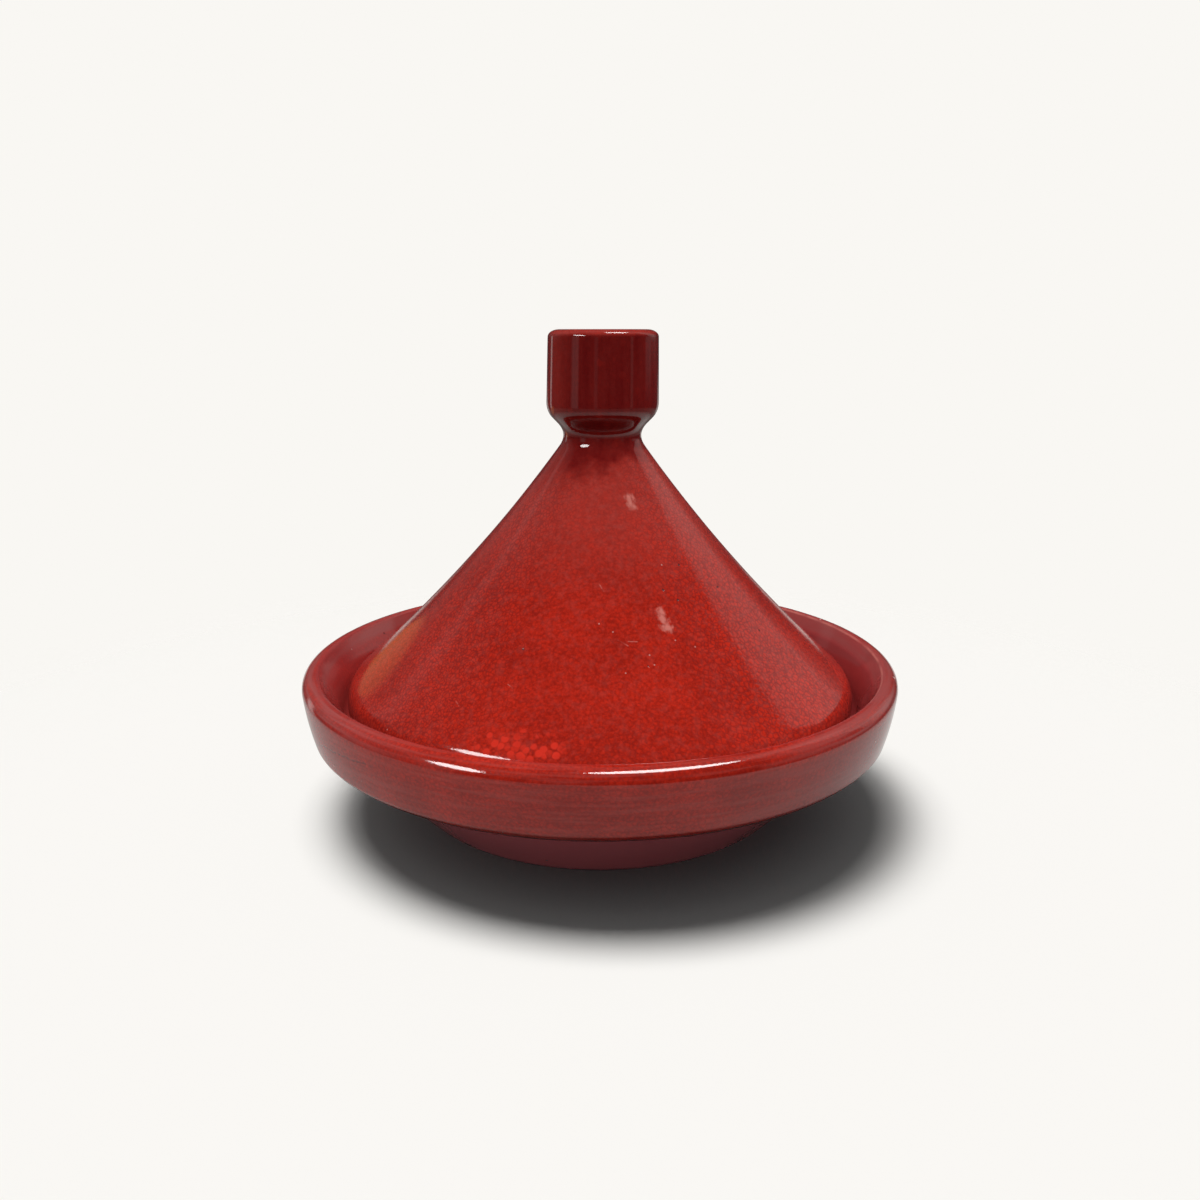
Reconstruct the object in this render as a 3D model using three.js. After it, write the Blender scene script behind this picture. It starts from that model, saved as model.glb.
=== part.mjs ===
// Mini tagine: a round glazed base dish and the hollow conical lid that rests in it and lifts off.
// Millimetres, +Z up. The origin is on the table, under the middle of the foot.
import * as THREE from 'three';

// Dish, outside
const rimDiameter = 120;
const dishHeight = 30.9;
const rimRound = 2.6; // quarter round on the rim's outside
const rimInnerRound = 0.6; // tight rounding where the rim turns into the inner wall
const bandDepth = 11.2; // from the rim's widest line down to the band's lower corner
const bandTaper = 2.1; // radius lost over that depth
const bandSwell = 0.45; // how far the band's side swells out
const bandCornerRise = 2.0; // where the corner's rounding starts, above the corner
const bandOverhang = 10.7; // how far the rim stands out past the top of the bowl
const undersideDrop = 3.3; // from the band's corner down to the top of the bowl
const bowlFlare = THREE.MathUtils.degToRad(44.7); // lean of the bowl's side from upright
const footRound = 4;
const footRingWidth = 5;
const footRecess = 1.2;

// Dish, inside
const seatDepth = 8.9; // from the rim's top down to the lid's seat
const seatInset = 8.0; // from the rim's widest line in to the seat's outer edge
const seatFillet = 1.2;
const seatWidth = 7.5;
const mouthRound = 1.2;
const wellWall = 5;
const wellKneeRound = 2.5;
const wellFloor = 5.5; // height of the well's floor above the table
const wellFloorRound = 8;

// Lid, outside
const lidHeight = 74.9; // from the seat to the top of the knob
const lidEdgeClearance = 0.6; // between the lid's widest line and the seat's outer edge
const lidEdgeHeight = 1.9; // height of the widest line above the seat
const lidEdgeRound = 3.0;
const lidShoulderRise = 3.2; // from the widest line up to where the lines of edge and flank meet
const lidShoulderRound = 4.5; // how far up the flank the shoulder's rounding reaches
const flankSag = 1.75; // hollow of the flank's sweep, at its middle
const neckDiameter = 13.5; // where the lines of flank and chamfer meet
const neckRound = 3.0;
const knobDiameter = 22.1;
const knobTaper = 0.3; // radius lost from the knob's foot to its top
const knobHeight = 15.3;
const knobChamferHeight = 5.3;
const knobTopRound = 1.3;
const knobFootRound = 1.6;

// Lid, inside
const lidWall = 4.2;
const lidRingWidth = 5.2; // from the widest line in to the inside of the resting ring
const lidRingRound = 0.8;
const hollowTipHeight = 2.0;

// Fineness of the turned surfaces
const turnSegments = 56;
const curveSteps = 4;

// Places that both pieces share
const rimRadius = rimDiameter / 2;
const seatHeight = dishHeight - seatDepth;
const seatOuterRadius = rimRadius - seatInset;

const point = (r, z) => new THREE.Vector2(r, z);

// The point at a set distance from one point on the way to another
function toward(from, to, distance) {
  return to.clone().sub(from).setLength(distance).add(from);
}

// Rounds a corner of the profile off, starting and ending at the given points
function roundCorner(path, start, corner, end) {
  path.lineTo(start.x, start.y);
  path.quadraticCurveTo(corner.x, corner.y, end.x, end.y);
}

// Control point of a curve that sags by the given depth from the straight line between two points
function sagControl(from, to, sag) {
  const across = to.clone().sub(from).normalize();
  const inward = point(-Math.abs(across.y), -Math.abs(across.x));
  return from.clone().add(to).multiplyScalar(0.5).addScaledVector(inward, 2 * sag);
}

// Turns a profile of radius and height about the upright axis
function turned(name, profile, material) {
  const geometry = new THREE.LatheGeometry(profile.getPoints(curveSteps), turnSegments);
  geometry.rotateX(Math.PI / 2);
  const mesh = new THREE.Mesh(geometry, material);
  mesh.name = name;
  return mesh;
}

function dishProfile() {
  const rimLine = point(rimRadius, dishHeight - rimRound);
  const bandCorner = point(rimRadius - bandTaper, rimLine.y - bandDepth);
  const bowlTop = point(rimRadius - bandOverhang, bandCorner.y - undersideDrop);
  const base = point(bowlTop.x - bowlTop.y * Math.tan(bowlFlare), 0);
  const upFlare = point(Math.sin(bowlFlare), Math.cos(bowlFlare));
  const path = new THREE.Path();

  // Recessed underside, foot ring and rounded foot
  const ringOuter = base.x - footRound;
  const ringInner = ringOuter - footRingWidth;
  path.moveTo(0, footRecess);
  path.lineTo(ringInner - footRecess, footRecess);
  path.lineTo(ringInner, 0);
  roundCorner(path, point(ringOuter, 0), base, base.clone().addScaledVector(upFlare, footRound));

  // Bowl, overhanging underside, and the band that swells a little up to the rim
  const bandFoot = toward(bandCorner, rimLine, bandCornerRise);
  const bandMiddle = bandFoot.clone().add(rimLine).multiplyScalar(0.5);
  path.lineTo(bowlTop.x, bowlTop.y);
  path.quadraticCurveTo(bandCorner.x, bandCorner.y, bandFoot.x, bandFoot.y);
  path.quadraticCurveTo(bandMiddle.x + bandSwell, bandMiddle.y, rimLine.x, rimLine.y);

  // Rim: a quarter round outside, and a tight edge where the inner wall starts
  const rimTop = point(rimRadius - rimRound, dishHeight);
  const rimCorner = point(rimTop.x - rimInnerRound, dishHeight);
  const seatCorner = point(seatOuterRadius, seatHeight);
  path.absarc(rimTop.x, rimLine.y, rimRound, 0, Math.PI / 2, false);
  roundCorner(path, rimTop, rimCorner, toward(rimCorner, seatCorner, rimInnerRound));

  // Inner wall down to the flat seat ring
  const seatEnd = point(seatCorner.x - seatFillet, seatHeight);
  roundCorner(path, toward(seatCorner, rimCorner, seatFillet), seatCorner, seatEnd);

  // Well: its mouth, a short upright wall, a side that follows the bowl, and the floor
  const mouth = point(seatOuterRadius - seatWidth, seatHeight);
  const inside = bowlTop.clone().add(point(-upFlare.y, upFlare.x).multiplyScalar(wellWall));
  const knee = point(mouth.x, inside.y + (mouth.x - inside.x) / Math.tan(bowlFlare));
  const floorCorner = point(knee.x - (knee.y - wellFloor) * Math.tan(bowlFlare), wellFloor);
  roundCorner(path, point(mouth.x + mouthRound, mouth.y), mouth, point(mouth.x, mouth.y - mouthRound));
  const kneeStart = point(knee.x, knee.y + wellKneeRound);
  roundCorner(path, kneeStart, knee, knee.clone().addScaledVector(upFlare, -wellKneeRound));
  const floorStart = floorCorner.clone().addScaledVector(upFlare, wellFloorRound);
  roundCorner(path, floorStart, floorCorner, point(floorCorner.x - wellFloorRound, wellFloor));
  path.lineTo(0, wellFloor);
  return path;
}

function lidProfile() {
  const top = seatHeight + lidHeight;
  const knobFoot = point(knobDiameter / 2, top - knobHeight);
  const knobTopRadius = knobFoot.x - knobTaper;
  const neck = point(neckDiameter / 2, knobFoot.y - knobChamferHeight);
  const edge = point(seatOuterRadius - lidEdgeClearance, seatHeight + lidEdgeHeight);
  const shoulder = point(edge.x, edge.y + lidShoulderRise);
  const flankBend = sagControl(neck, shoulder, flankSag);
  const ringInner = edge.x - lidRingWidth;
  const path = new THREE.Path();

  // Hollow: the flank's line moved in by the wall, from a rounded tip in the neck down to the resting ring
  const flankLine = shoulder.clone().sub(neck).normalize();
  const wallStep = point(flankLine.y, -flankLine.x).multiplyScalar(lidWall);
  const tip = neck.clone().add(wallStep);
  const inner = shoulder.clone().add(wallStep);
  const innerKnee = toward(inner, tip, (inner.x - ringInner) / flankLine.x);
  const innerBend = sagControl(tip, innerKnee, flankSag);
  path.moveTo(0, tip.y + hollowTipHeight);
  path.quadraticCurveTo(tip.x, tip.y + hollowTipHeight, tip.x, tip.y);
  path.quadraticCurveTo(innerBend.x, innerBend.y, innerKnee.x, innerKnee.y);
  const ringCorner = point(ringInner, seatHeight);
  const ringStart = point(ringInner, seatHeight + lidRingRound);
  roundCorner(path, ringStart, ringCorner, point(ringInner + lidRingRound, seatHeight));

  // Flat resting ring, rounded edge and shoulder
  path.lineTo(edge.x - lidEdgeRound, seatHeight);
  path.absellipse(edge.x - lidEdgeRound, edge.y, lidEdgeRound, lidEdgeHeight, -Math.PI / 2, 0, false);
  const flankStart = toward(shoulder, flankBend, lidShoulderRound);
  path.quadraticCurveTo(shoulder.x, shoulder.y, flankStart.x, flankStart.y);

  // Swept flank up to the neck
  const neckStart = toward(neck, flankBend, neckRound);
  path.quadraticCurveTo(flankBend.x, flankBend.y, neckStart.x, neckStart.y);
  path.quadraticCurveTo(neck.x, neck.y, ...toward(neck, knobFoot, neckRound).toArray());

  // Knob: chamfer, slightly tapered side and rounded top
  const knobSide = point(knobTopRadius, top - knobTopRound);
  const knobSideStart = toward(knobFoot, knobSide, knobFootRound);
  roundCorner(path, toward(knobFoot, neck, knobFootRound), knobFoot, knobSideStart);
  path.lineTo(knobSide.x, knobSide.y);
  path.absarc(knobTopRadius - knobTopRound, knobSide.y, knobTopRound, 0, Math.PI / 2, false);
  path.lineTo(0, top);
  return path;
}

const dishGlaze = new THREE.MeshStandardMaterial({ color: 0x8e2622, roughness: 0.15, metalness: 0 });
const lidGlaze = new THREE.MeshStandardMaterial({ color: 0xa5201c, roughness: 0.12, metalness: 0 });

const tagine = new THREE.Group();
tagine.add(turned('base_dish', dishProfile(), dishGlaze));
tagine.add(turned('conical_lid', lidProfile(), lidGlaze));

export default tagine;
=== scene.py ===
"""Looks of the mini tagine: a crackle-glazed base dish and its conical lid, built around its frame."""
import math

import bmesh
import bpy
from mathutils import Matrix, Vector, noise


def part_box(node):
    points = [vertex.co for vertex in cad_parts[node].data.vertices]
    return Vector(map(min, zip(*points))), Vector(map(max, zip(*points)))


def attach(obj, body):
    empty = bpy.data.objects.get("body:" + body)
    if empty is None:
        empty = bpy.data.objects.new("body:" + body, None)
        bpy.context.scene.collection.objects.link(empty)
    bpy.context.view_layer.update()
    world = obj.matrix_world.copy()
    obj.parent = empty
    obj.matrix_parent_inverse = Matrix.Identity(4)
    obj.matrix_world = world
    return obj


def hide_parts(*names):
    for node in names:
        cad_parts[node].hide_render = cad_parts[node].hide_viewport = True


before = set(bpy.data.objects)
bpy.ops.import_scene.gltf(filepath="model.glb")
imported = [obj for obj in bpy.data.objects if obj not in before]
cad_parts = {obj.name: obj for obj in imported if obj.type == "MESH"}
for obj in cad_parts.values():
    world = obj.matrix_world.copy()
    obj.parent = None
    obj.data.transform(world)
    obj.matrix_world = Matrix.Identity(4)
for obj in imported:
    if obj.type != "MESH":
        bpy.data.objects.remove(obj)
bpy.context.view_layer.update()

MM = 0.001

# Corners of the solids' boxes, in metres
DISH_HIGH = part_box("base_dish")[1]
LID_LOW, LID_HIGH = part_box("conical_lid")

# Dish, outside, in millimetres
RIM_RADIUS = DISH_HIGH.x / MM
DISH_HEIGHT = DISH_HIGH.z / MM
RIM_ROUND = 2.6
RIM_INNER_ROUND = 0.6
BAND_DEPTH = 11.2
BAND_TAPER = 2.1
BAND_SWELL = 0.45
BAND_CORNER_RISE = 2.0
BAND_OVERHANG = 10.7
UNDERSIDE_DROP = 3.3
BOWL_FLARE = math.radians(44.7)
FOOT_ROUND = 4.0
FOOT_RING_WIDTH = 5.0
FOOT_RECESS = 1.2

# Dish, inside
SEAT_HEIGHT = LID_LOW.z / MM
SEAT_INSET = 8.0
SEAT_FILLET = 1.2
SEAT_WIDTH = 7.5
MOUTH_ROUND = 1.2
WELL_WALL = 5.0
WELL_KNEE_ROUND = 2.5
WELL_FLOOR = 5.5
WELL_FLOOR_ROUND = 8.0

# Lid, outside
LID_TOP = LID_HIGH.z / MM
LID_EDGE_RADIUS = LID_HIGH.x / MM
LID_EDGE_HEIGHT = 1.9
LID_EDGE_ROUND = 3.0
LID_SHOULDER_RISE = 3.2
LID_SHOULDER_ROUND = 2.4
FLANK_SAG = 1.75
NECK_RADIUS = 6.75
NECK_ROUND = 3.0
KNOB_RADIUS = 11.05
KNOB_TAPER = 0.3
KNOB_HEIGHT = 15.9
KNOB_CHAMFER_HEIGHT = 4.4
KNOB_TOP_ROUND = 1.5
KNOB_TOP_REACH = 2.2
KNOB_FOOT_ROUND = 1.8

# Lid, inside
LID_WALL = 4.2
LID_RING_WIDTH = 5.2
LID_RING_ROUND = 0.8
HOLLOW_TIP_HEIGHT = 2.0

# Fineness of the turned meshes
TURN_SEGMENTS = 288
CURVE_STEPS = 14
CORNER_STEPS = 6
KNOB_FOOT_STEPS = 8
HOLLOW_STEPS = 50
FLANK_STEPS = 70
LINE_STEP = 1.0
TINY = 1e-6
UV_MAP = "OFBake"

# Handwork, in millimetres
DIPS = ((0.09, 26.0), (0.025, 8.0))  # depth and breadth of the surface's dips
DIP_DOWN = 0.5  # how far a dip goes down, for each unit that it goes in
CONTACT_CLEAR = 2.0  # distance from a resting face within which the dips fade out
LID_LEAN = 0.0085  # to the right, for each unit of height
KNOB_TOP_FALL = 0.033  # of the knob's top, for each unit towards the back
KNOB_FALL_REACH = 6.0  # how far down from the top the fall is felt

# Colours of the glaze
DEEP_RED = (0.365, 0.0138, 0.0056)
BRIGHT_RED = (0.635, 0.0258, 0.0105)
# dull tone of the random mottle and streaks, also laid as a painted sheen towards the lid's neck
MOTTLE_AND_SHEEN_RED = (0.48, 0.066, 0.053)
LINE_RED = (0.24, 0.007, 0.005)
# the knob's own dark glaze, also laid below the knob over the neck as painted shade
KNOB_RED = (0.165, 0.003, 0.0035)
# painted light on the bowl and foot, standing in for light bounced up from the table
BOWL_LIT_RED = (0.76, 0.175, 0.20)
# painted highlight in the crackle cells at the lid's front
PAINTED_GLOW_RED = (0.76, 0.034, 0.017)
# pale glaze of real scratches and scuffs, also the painted highlight along the rim's inner edge
WEAR_AND_GLINT_RED = (0.80, 0.26, 0.21)
WALL_RED = (0.45, 0.052, 0.054)
# painted sheen on the rim's outer lip, at its sides
RIM_SHEEN_RED = (0.39, 0.088, 0.083)
# painted shade, on the band's right and at the lid's lower edge by the gap
SHADE_RED = (0.20, 0.016, 0.016)
PALE_MARK = (0.80, 0.52, 0.47)
DARK_MARK = (0.07, 0.006, 0.006)
CRACK_RED = (0.14, 0.006, 0.006)
CLAY = (0.46, 0.20, 0.12)

# Noise in the glaze: waves for each millimetre, and how many finer layers
RIPPLE_NOISE = (0.45, 2.0)
CLOUD_NOISE = (0.09, 3.0)
GRAIN_NOISE = (1.8, 4.0)
WANDER_NOISE = (0.8, 1.0)
STRAY_NOISE = (0.5, 2.0)
BREAK_NOISE = (1.3, 2.0)
CLAY_NOISE = (2.2, 4.0)
SMEAR_NOISE = (0.22, 4.0)
MOTTLE_NOISE = (0.7, 4.0)
KNOB_FOOT_NOISE = (0.4, 5.0)
KNOB_GRAIN_NOISE = (1.5, 4.0)
RIM_EDGE_GLINT_NOISE = (0.2, 2.0)

# Body of the glaze: a span gives where something starts and ends, and often its share at each end
MIDTONES = (0.3, 0.7)  # where most of a noise lies
BODY_TONE = 0.4  # between the deep and the bright red
GRAIN_DEPTH = 0.42
RIPPLE_HEIGHT = 0.006  # millimetres
GLAZE_ROUGH = 0.05
SMEARS = (0.45, 0.75, 0.0, 0.03)  # added roughness

# Crackle: cells in millimetres, and spans of the distance from a cell's edge or of its tone
CELL = 0.92  # on the dish
CELL_LEFT = 0.74  # at the lid's left
CELL_RIGHT = 1.06  # at the lid's right
CELL_CHANCE = 0.9  # how uneven the cells are
CELL_WANDER = 0.5  # how far the cells stray from their pattern
CELL_MIDDLE = (0.10, 0.40, 0.0, 0.45)
BRIGHT_CELLS = (0.5, 1.0, 0.0, 0.25)
DIM_CELLS = (0.0, 0.3, 0.15, 0.0)
GROOVE = (0.03, 0.15, 1.0, 0.0)
GROOVE_DARKNESS = 0.66
GROOVE_ROUGH = (0.0, 1.0, 0.04, 0.18)
CELL_DOME = (0.0, 0.4)
CELL_DOME_HEIGHT = 0.006

# Form of the marks and of the bare clay, in millimetres
MIDDLE_GREY = (0.5, 0.5, 0.5)  # mean of coloured noise
MARK_BREAKS = (0.35, 0.6)  # noise over which a thin mark is broken
MARK_CORE = 0.4  # share of a mark's width that is full
SPOT_CORE = 0.5  # share of a spot's width that is full
SPOT_LENGTH = 0.25  # how much longer than round a spot is, as a share of its size
STREWN_SPACING = 6.5
CLAY_TOP = 0.15  # how far the bare clay reaches up from a resting face
CLAY_RAGGED = 0.2
CLAY_FADE = 0.12
CLAY_SHADE = 0.6  # tone of the darker grains
CLAY_ROUGH = 0.85

# Lid: crackle and mottle over the flank, and a painted sheen towards the neck, by how far it turns to the
# side or by height
LID_CLOUDS = 0.2
CRAZED_SIDES = (0.2, 0.75, 0.3, 1.0)
CRAZED_FOOT = (29.0, 37.0, 0.5, 0.3)
CRAZED_KNOB = (0.0, 1.0, 1.0, 0.15)
MOTTLE = (0.4, 0.75, -0.06, 0.22)
# painted sheen: the flank turns duller and paler towards the neck
NECK_SHEEN_HEIGHT = (46.0, 66.0)
NECK_SHEEN_SHARE = (0.04, 0.45)
DULL_GROOVES = (0.0, 0.22)
LID_GAP_SHADE = (3.0, 6.0)  # height above the seat over which the painted shade by the gap fades
LID_GAP_SHADE_SHARE = (0.45, 0.0)

# Lid: dark glaze of the knob, carried down over the neck as painted shade, and lighter at the knob's left
# as painted light
# painted shade: the dark glaze starts below the neck
KNOB_AND_NECK_SHADE_HEIGHTS = (68.2, 73.6)
KNOB_WOBBLE = (0.2, 0.8, -2.0, 2.0)  # up and down, of the line where it starts
KNOB_SLANT = -0.3  # rise of that line for each millimetre to the left
KNOB_STRETCH = (0.7, 0.7, 0.06)  # waves of its streaks for each millimetre across and up
KNOB_STREAK_LAYERS = 3.0
KNOB_STREAKS = (0.3, 0.7, 0.86, 1.0)
KNOB_GRAIN = (0.35, 0.7, 0.94, 1.0)
# painted light: the knob's left side lighter
KNOB_LEFT_LIGHT = (-8.5, -4.5, 0.52, 0.95)
KNOB_EDGE = (1.4, 0.7)  # depth below the top over which the edge brightens
KNOB_EDGE_SHARE = (1.0, 0.3)

# Lid: crackle cells in front lit up as a painted highlight
GLOW_CELL = 1.45
GLOW_REACH = (0.4, 4.6, 1.0, 0.0)
GLOW_TONE = 0.8  # how much a cell's own tone counts
GLOW_LIT = (0.6, 1.5)
GLOW_ROUND = (0.38, 0.62, 1.0, 0.0)

# Dish: streaks, tones, and painted light, shade, sheen and highlight, by distance from the axis, height
# or place to the side
DISH_CLOUDS = 0.32
DISH_CRACKLE = 0.5
STREAKS = 3.0  # waves for each radian round the axis
STREAK_RISE = 1.1  # waves for each millimetre up
STREAK_SPREAD = 0.9  # waves for each millimetre inwards
STREAK_LAYERS = 3.0
STREAK_SHARE = (0.42, 0.7, 0.0, 0.5)
STREAK_CALM = (26.0, 46.0, 0.35, 1.0)
WALL_TOP = (-0.6, 0.2)  # from the rim's top line outwards
WALL_FOOT = 1.0  # height below the seat over which the wall's tone fades
WALL_SIDES = (-50.0, 50.0, 0.5, 0.85)
# painted shade on the band's right side
BAND_SHADE_TOP = (3.6, 2.6)  # depth below the rim
BAND_SHADE_SHARE = (0.4, 0.0)
BAND_SHADE_SIDE = (5.0, 50.0)
LIP_SHEEN_DEPTH = (3.2, 2.0)  # below the rim
LIP_SHEEN_SIDES = (22.0, 52.0)
LIP_SHEEN_STREAKS = (0.3, 0.65, 0.25, 0.75)
BOWL_TOP = (7.0, 4.0)  # depth below the seat
BOWL_FOOT = (31.5, 33.5)  # where the bowl's slope, drawn on, meets the table
BOWL_LIGHT_SHARE = 0.85
# painted highlight along the rim's inner edge, at the right
RIM_EDGE_GLINT = (0.3, 0.6, 0.1, 0.5)
RIM_EDGE_GLINT_SIDE = (20.0, 45.0)
RIM_EDGE_GLINT_WIDTH = (0.1, 0.36, 1.0, 0.0)

# Marks strewn by chance: shift of their pattern, size, and share of the places that have one
LID_PALE_STREWN = ((0, 0, 0), 0.2, 0.3)
LID_DARK_STREWN = ((40, 7, 3), 0.26, 0.5)
DISH_PALE_STREWN = ((3, 25, 9), 0.3, 0.3)
DISH_DARK_STREWN = ((11, 5, 0), 0.3, 0.4)

# Finish of the marks: roughness, and depth of the dent where there is one
LID_PALE_FINISH = (0.3, 0.01)
LID_DARK_FINISH = (0.3, 0.04)
DISH_PALE_FINISH = (0.4, 0.03)
DISH_DARK_FINISH = (0.3, 0.05)
CHIP_FINISH = (0.4, 0.05)
HAIRLINE_FINISH = (0.1, 0.02)
SCRATCH_ROUGH = 0.4
SCUFF_ROUGH = 0.2

# Size of the marks, in millimetres, and their strength
STREWN_STRENGTH = 0.35
PALE_SPECK = 0.2
PALE_SPECK_STRENGTH = 0.5
DARK_SPECK = 0.28
SCRATCH_WIDTH = 0.16
SCRATCH_WANDER = 0.5
SCRATCH_STRENGTH = 0.4
SCUFF_STRETCH = (1.4, 1.4, 0.6)  # waves of its ragged edge for each millimetre across and up
SCUFF_LAYERS = 5.0
SCUFF_RAGGED = 2.6
SCUFF_SPAN = (1.2, 2.6, 0.75, 0.0)
CHIP = 0.4
HAIRLINE_WIDTH = 0.28
HAIRLINE_WANDER = 0.9
HAIRLINE_STRENGTH = 0.8

# Places of the marks: degrees round from the viewer (right is positive) and height
PALE_SPECKS = ((-0.7, 46.7), (3.7, 45.5), (27.8, 55.0), (22.8, 43.7), (28.4, 42.4), (13.8, 42.0),
               (14.6, 40.6), (6.5, 39.7), (-49.3, 27.4))
DARK_SPECKS = ((36.5, 54.6), (24.5, 51.2), (29.0, 49.4), (50.8, 50.0), (56.7, 42.1))
SCRATCHES = (((-1.0, 52.6), (1.0, 51.5)), ((5.1, 44.3), (8.0, 43.5)), ((8.1, 44.1), (10.8, 44.0)),
             ((14.0, 40.8), (15.5, 40.2)), ((-23.7, 37.4), (-21.9, 36.8)), ((-35.5, 33.9), (-34.0, 33.4)))
SCUFFS = (((20.8, 48.0), (21.2, 45.6)), ((20.5, 45.8), (21.9, 45.5)), ((20.6, 66.2), (21.4, 64.8)))
GLOW = (((-23.5, 29.6), (-17.1, 29.9)), ((-17.1, 29.9), (-10.5, 29.8)))
CHIPS = ((78.0, 30.2), (80.5, 29.6), (83.0, 29.0))
HAIRLINE = ((-67.0, 21.6), (-61.3, 22.9), (-54.8, 23.9), (-48.7, 24.6), (-41.0, 25.4))

# Camera of the photograph, fitted to the outline: place in millimetres, angles in degrees
CAMERA_DISTANCE = 227.6
CAMERA_HEIGHT = 103.5
CAMERA_PITCH = 14.96
FOCAL_PIXELS = 1154.4
PHOTO_PIXELS = 1200
SENSOR_WIDTH = 36.0
CLIP_START = 0.01  # metres

# Studio: colours, and lengths in metres
BACKGROUND = (0.947, 0.930, 0.896)
ROOM = (0.036, 0.038, 0.041)
TABLE = (0.12, 0.12, 0.12)
FLOOR_RADIUS = 0.20
FLOOR_SEGMENTS = 96
FLOOR_FADE = 0.12
FLOOR_ROUGH = 0.9
FLOOR_MIRRORED_X = (0.0, 0.08)
FLOOR_MIRRORED = (0.60, 0.78)  # how bright the gloss shows it, left and right

# Soft lights: where each comes from, its level and the angle of sky that it takes up, in degrees
SKY = ((0.0, 0.0, 1.0), 3.14, 152.0)
LID_FILL = ((0.74, 0.35, 0.57), 0.45, 60.0)
DISH_FILL = ((-0.85, -0.52, 0.0), 0.30, 60.0)
SUN_LEFT = ((-0.25, 0.02, 0.97), 1.465, 26.0)
SUN_RIGHT = ((-0.095, 0.02, 0.99), 1.465, 26.0)
FLOOR_FILL = ((-0.17, 0.02, 0.98), 0.17, 80.0)

# Cards that the gloss shows: degrees round and up where each starts, is full, falls and ends, and colour
CARDS = {
    "floor_beyond": ((-182, -181, 181, 182), (-92, -91, -16, -11), (0.20, 0.19, 0.18)),
    "back_left": ((-166, -163, -154, -148), (-16, -12, -6, -3), (0.60, 0.58, 0.55)),
    "back_right": ((148, 154, 163, 166), (-16, -12, -6, -3), (0.60, 0.58, 0.55)),
    "above_right": ((84, 100, 181, 182), (46, 56, 78, 88), (0.30, 0.29, 0.29)),
    "above_left": ((-182, -181, -110, -90), (46, 56, 78, 88), (0.20, 0.20, 0.20)),
    "wall_left": ((-156, -150, -106, -94), (-2, 4, 46, 54), (0.12, 0.12, 0.12)),
    "stripe_left": ((-127, -125, -120, -117), (12, 17, 36, 40), (0.29, 0.28, 0.28)),
    "window_right": ((109, 111, 124, 150), (-4, 4, 48, 54), (0.52, 0.51, 0.49)),
    "streak_right": ((135, 136.5, 137.5, 139), (10, 14, 20, 24), (0.45, 0.44, 0.43)),
    "knob_left": ((-70, -63, -53, -49), (-14, -10, 13, 18), (0.36, 0.35, 0.34)),
    "knob_middle": ((-19, -16, -12, -9), (-14, -10, 9, 12), (0.15, 0.15, 0.15)),
    "knob_right": ((57, 59, 63, 65), (-14, -10, 9, 12), (0.20, 0.20, 0.19)),
    "knob_far_right": ((95, 99, 113, 117), (-5, -1, 6, 9), (0.26, 0.25, 0.25)),
    "knob_far_left": ((-137, -134, -130, -127), (-14, -10, 6, 9), (0.90, 0.88, 0.86)),
}

# Lamps that only the gloss shows: both ends in metres from the rim's middle, width, brightness and colour
RIM_STRIP = ((-0.04, -0.37, 0.93), (0.49, 0.0, 0.87), 0.32, 20.0, (1.0, 1.0, 1.0))
KNOB_STRIP = ((0.02, -0.02, 1.0), (0.42, 0.14, 0.90), 0.2, 20.0, (1.0, 1.0, 1.0))
DISH_STRIP = ((-0.76, -0.39, 0.52), (-0.65, -0.71, 0.26), 0.28, 20.0, (1.0, 1.0, 1.0))
LID_STRIP = ((-0.78, -0.25, 0.60), (-0.54, -0.62, 0.57), 0.22, 17.0, (1.0, 1.0, 1.0))
WARM_STRIP = ((-0.118, 0.058, 0.031), (-0.084, 0.097, -0.001), 0.025, 0.52, (1.0, 0.30, 0.07))


class Profile:
    """A turned outline of radius and height in millimetres, drawn from straight and round stretches."""

    def __init__(self, r, z):
        self.points = [Vector((r, z))]

    def line(self, end):
        """Goes straight to a point, in steps short enough to carry its unevenness."""
        start = self.points[-1]
        end = Vector(end)
        steps = max(1, round((end - start).length / LINE_STEP))
        if (end - start).length > TINY:
            self.points += [start.lerp(end, k / steps) for k in range(1, steps + 1)]

    def curve(self, corner, end, steps=CURVE_STEPS):
        """Goes round a corner to a point, along a parabola."""
        start = self.points[-1]
        corner, end = Vector(corner), Vector(end)
        for k in range(1, steps + 1):
            t = k / steps
            self.points.append(start.lerp(corner, t).lerp(corner.lerp(end, t), t))

    def arc(self, centre, radii, first, last, steps=CURVE_STEPS):
        """Follows an ellipse round its centre, from one angle to another in degrees."""
        for k in range(1, steps + 1):
            angle = math.radians(first + (last - first) * k / steps)
            place = (centre[0] + radii[0] * math.cos(angle), centre[1] + radii[1] * math.sin(angle))
            self.points.append(Vector(place))

    def round_corner(self, start, corner, end, steps=CURVE_STEPS):
        """Goes straight to where a corner's rounding starts, and round it."""
        self.line(start)
        self.curve(corner, end, steps)


def toward(start, end, distance):
    """The point at a set distance from one point on the way to another."""
    start, end = Vector(start), Vector(end)
    return start + (end - start).normalized() * distance


def sag_control(start, end, sag):
    """Control point of a curve that sags by the given depth from the straight line between two points."""
    across = (end - start).normalized()
    inward = Vector((-abs(across.y), -abs(across.x)))
    return (start + end) / 2 + inward * 2 * sag


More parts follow.
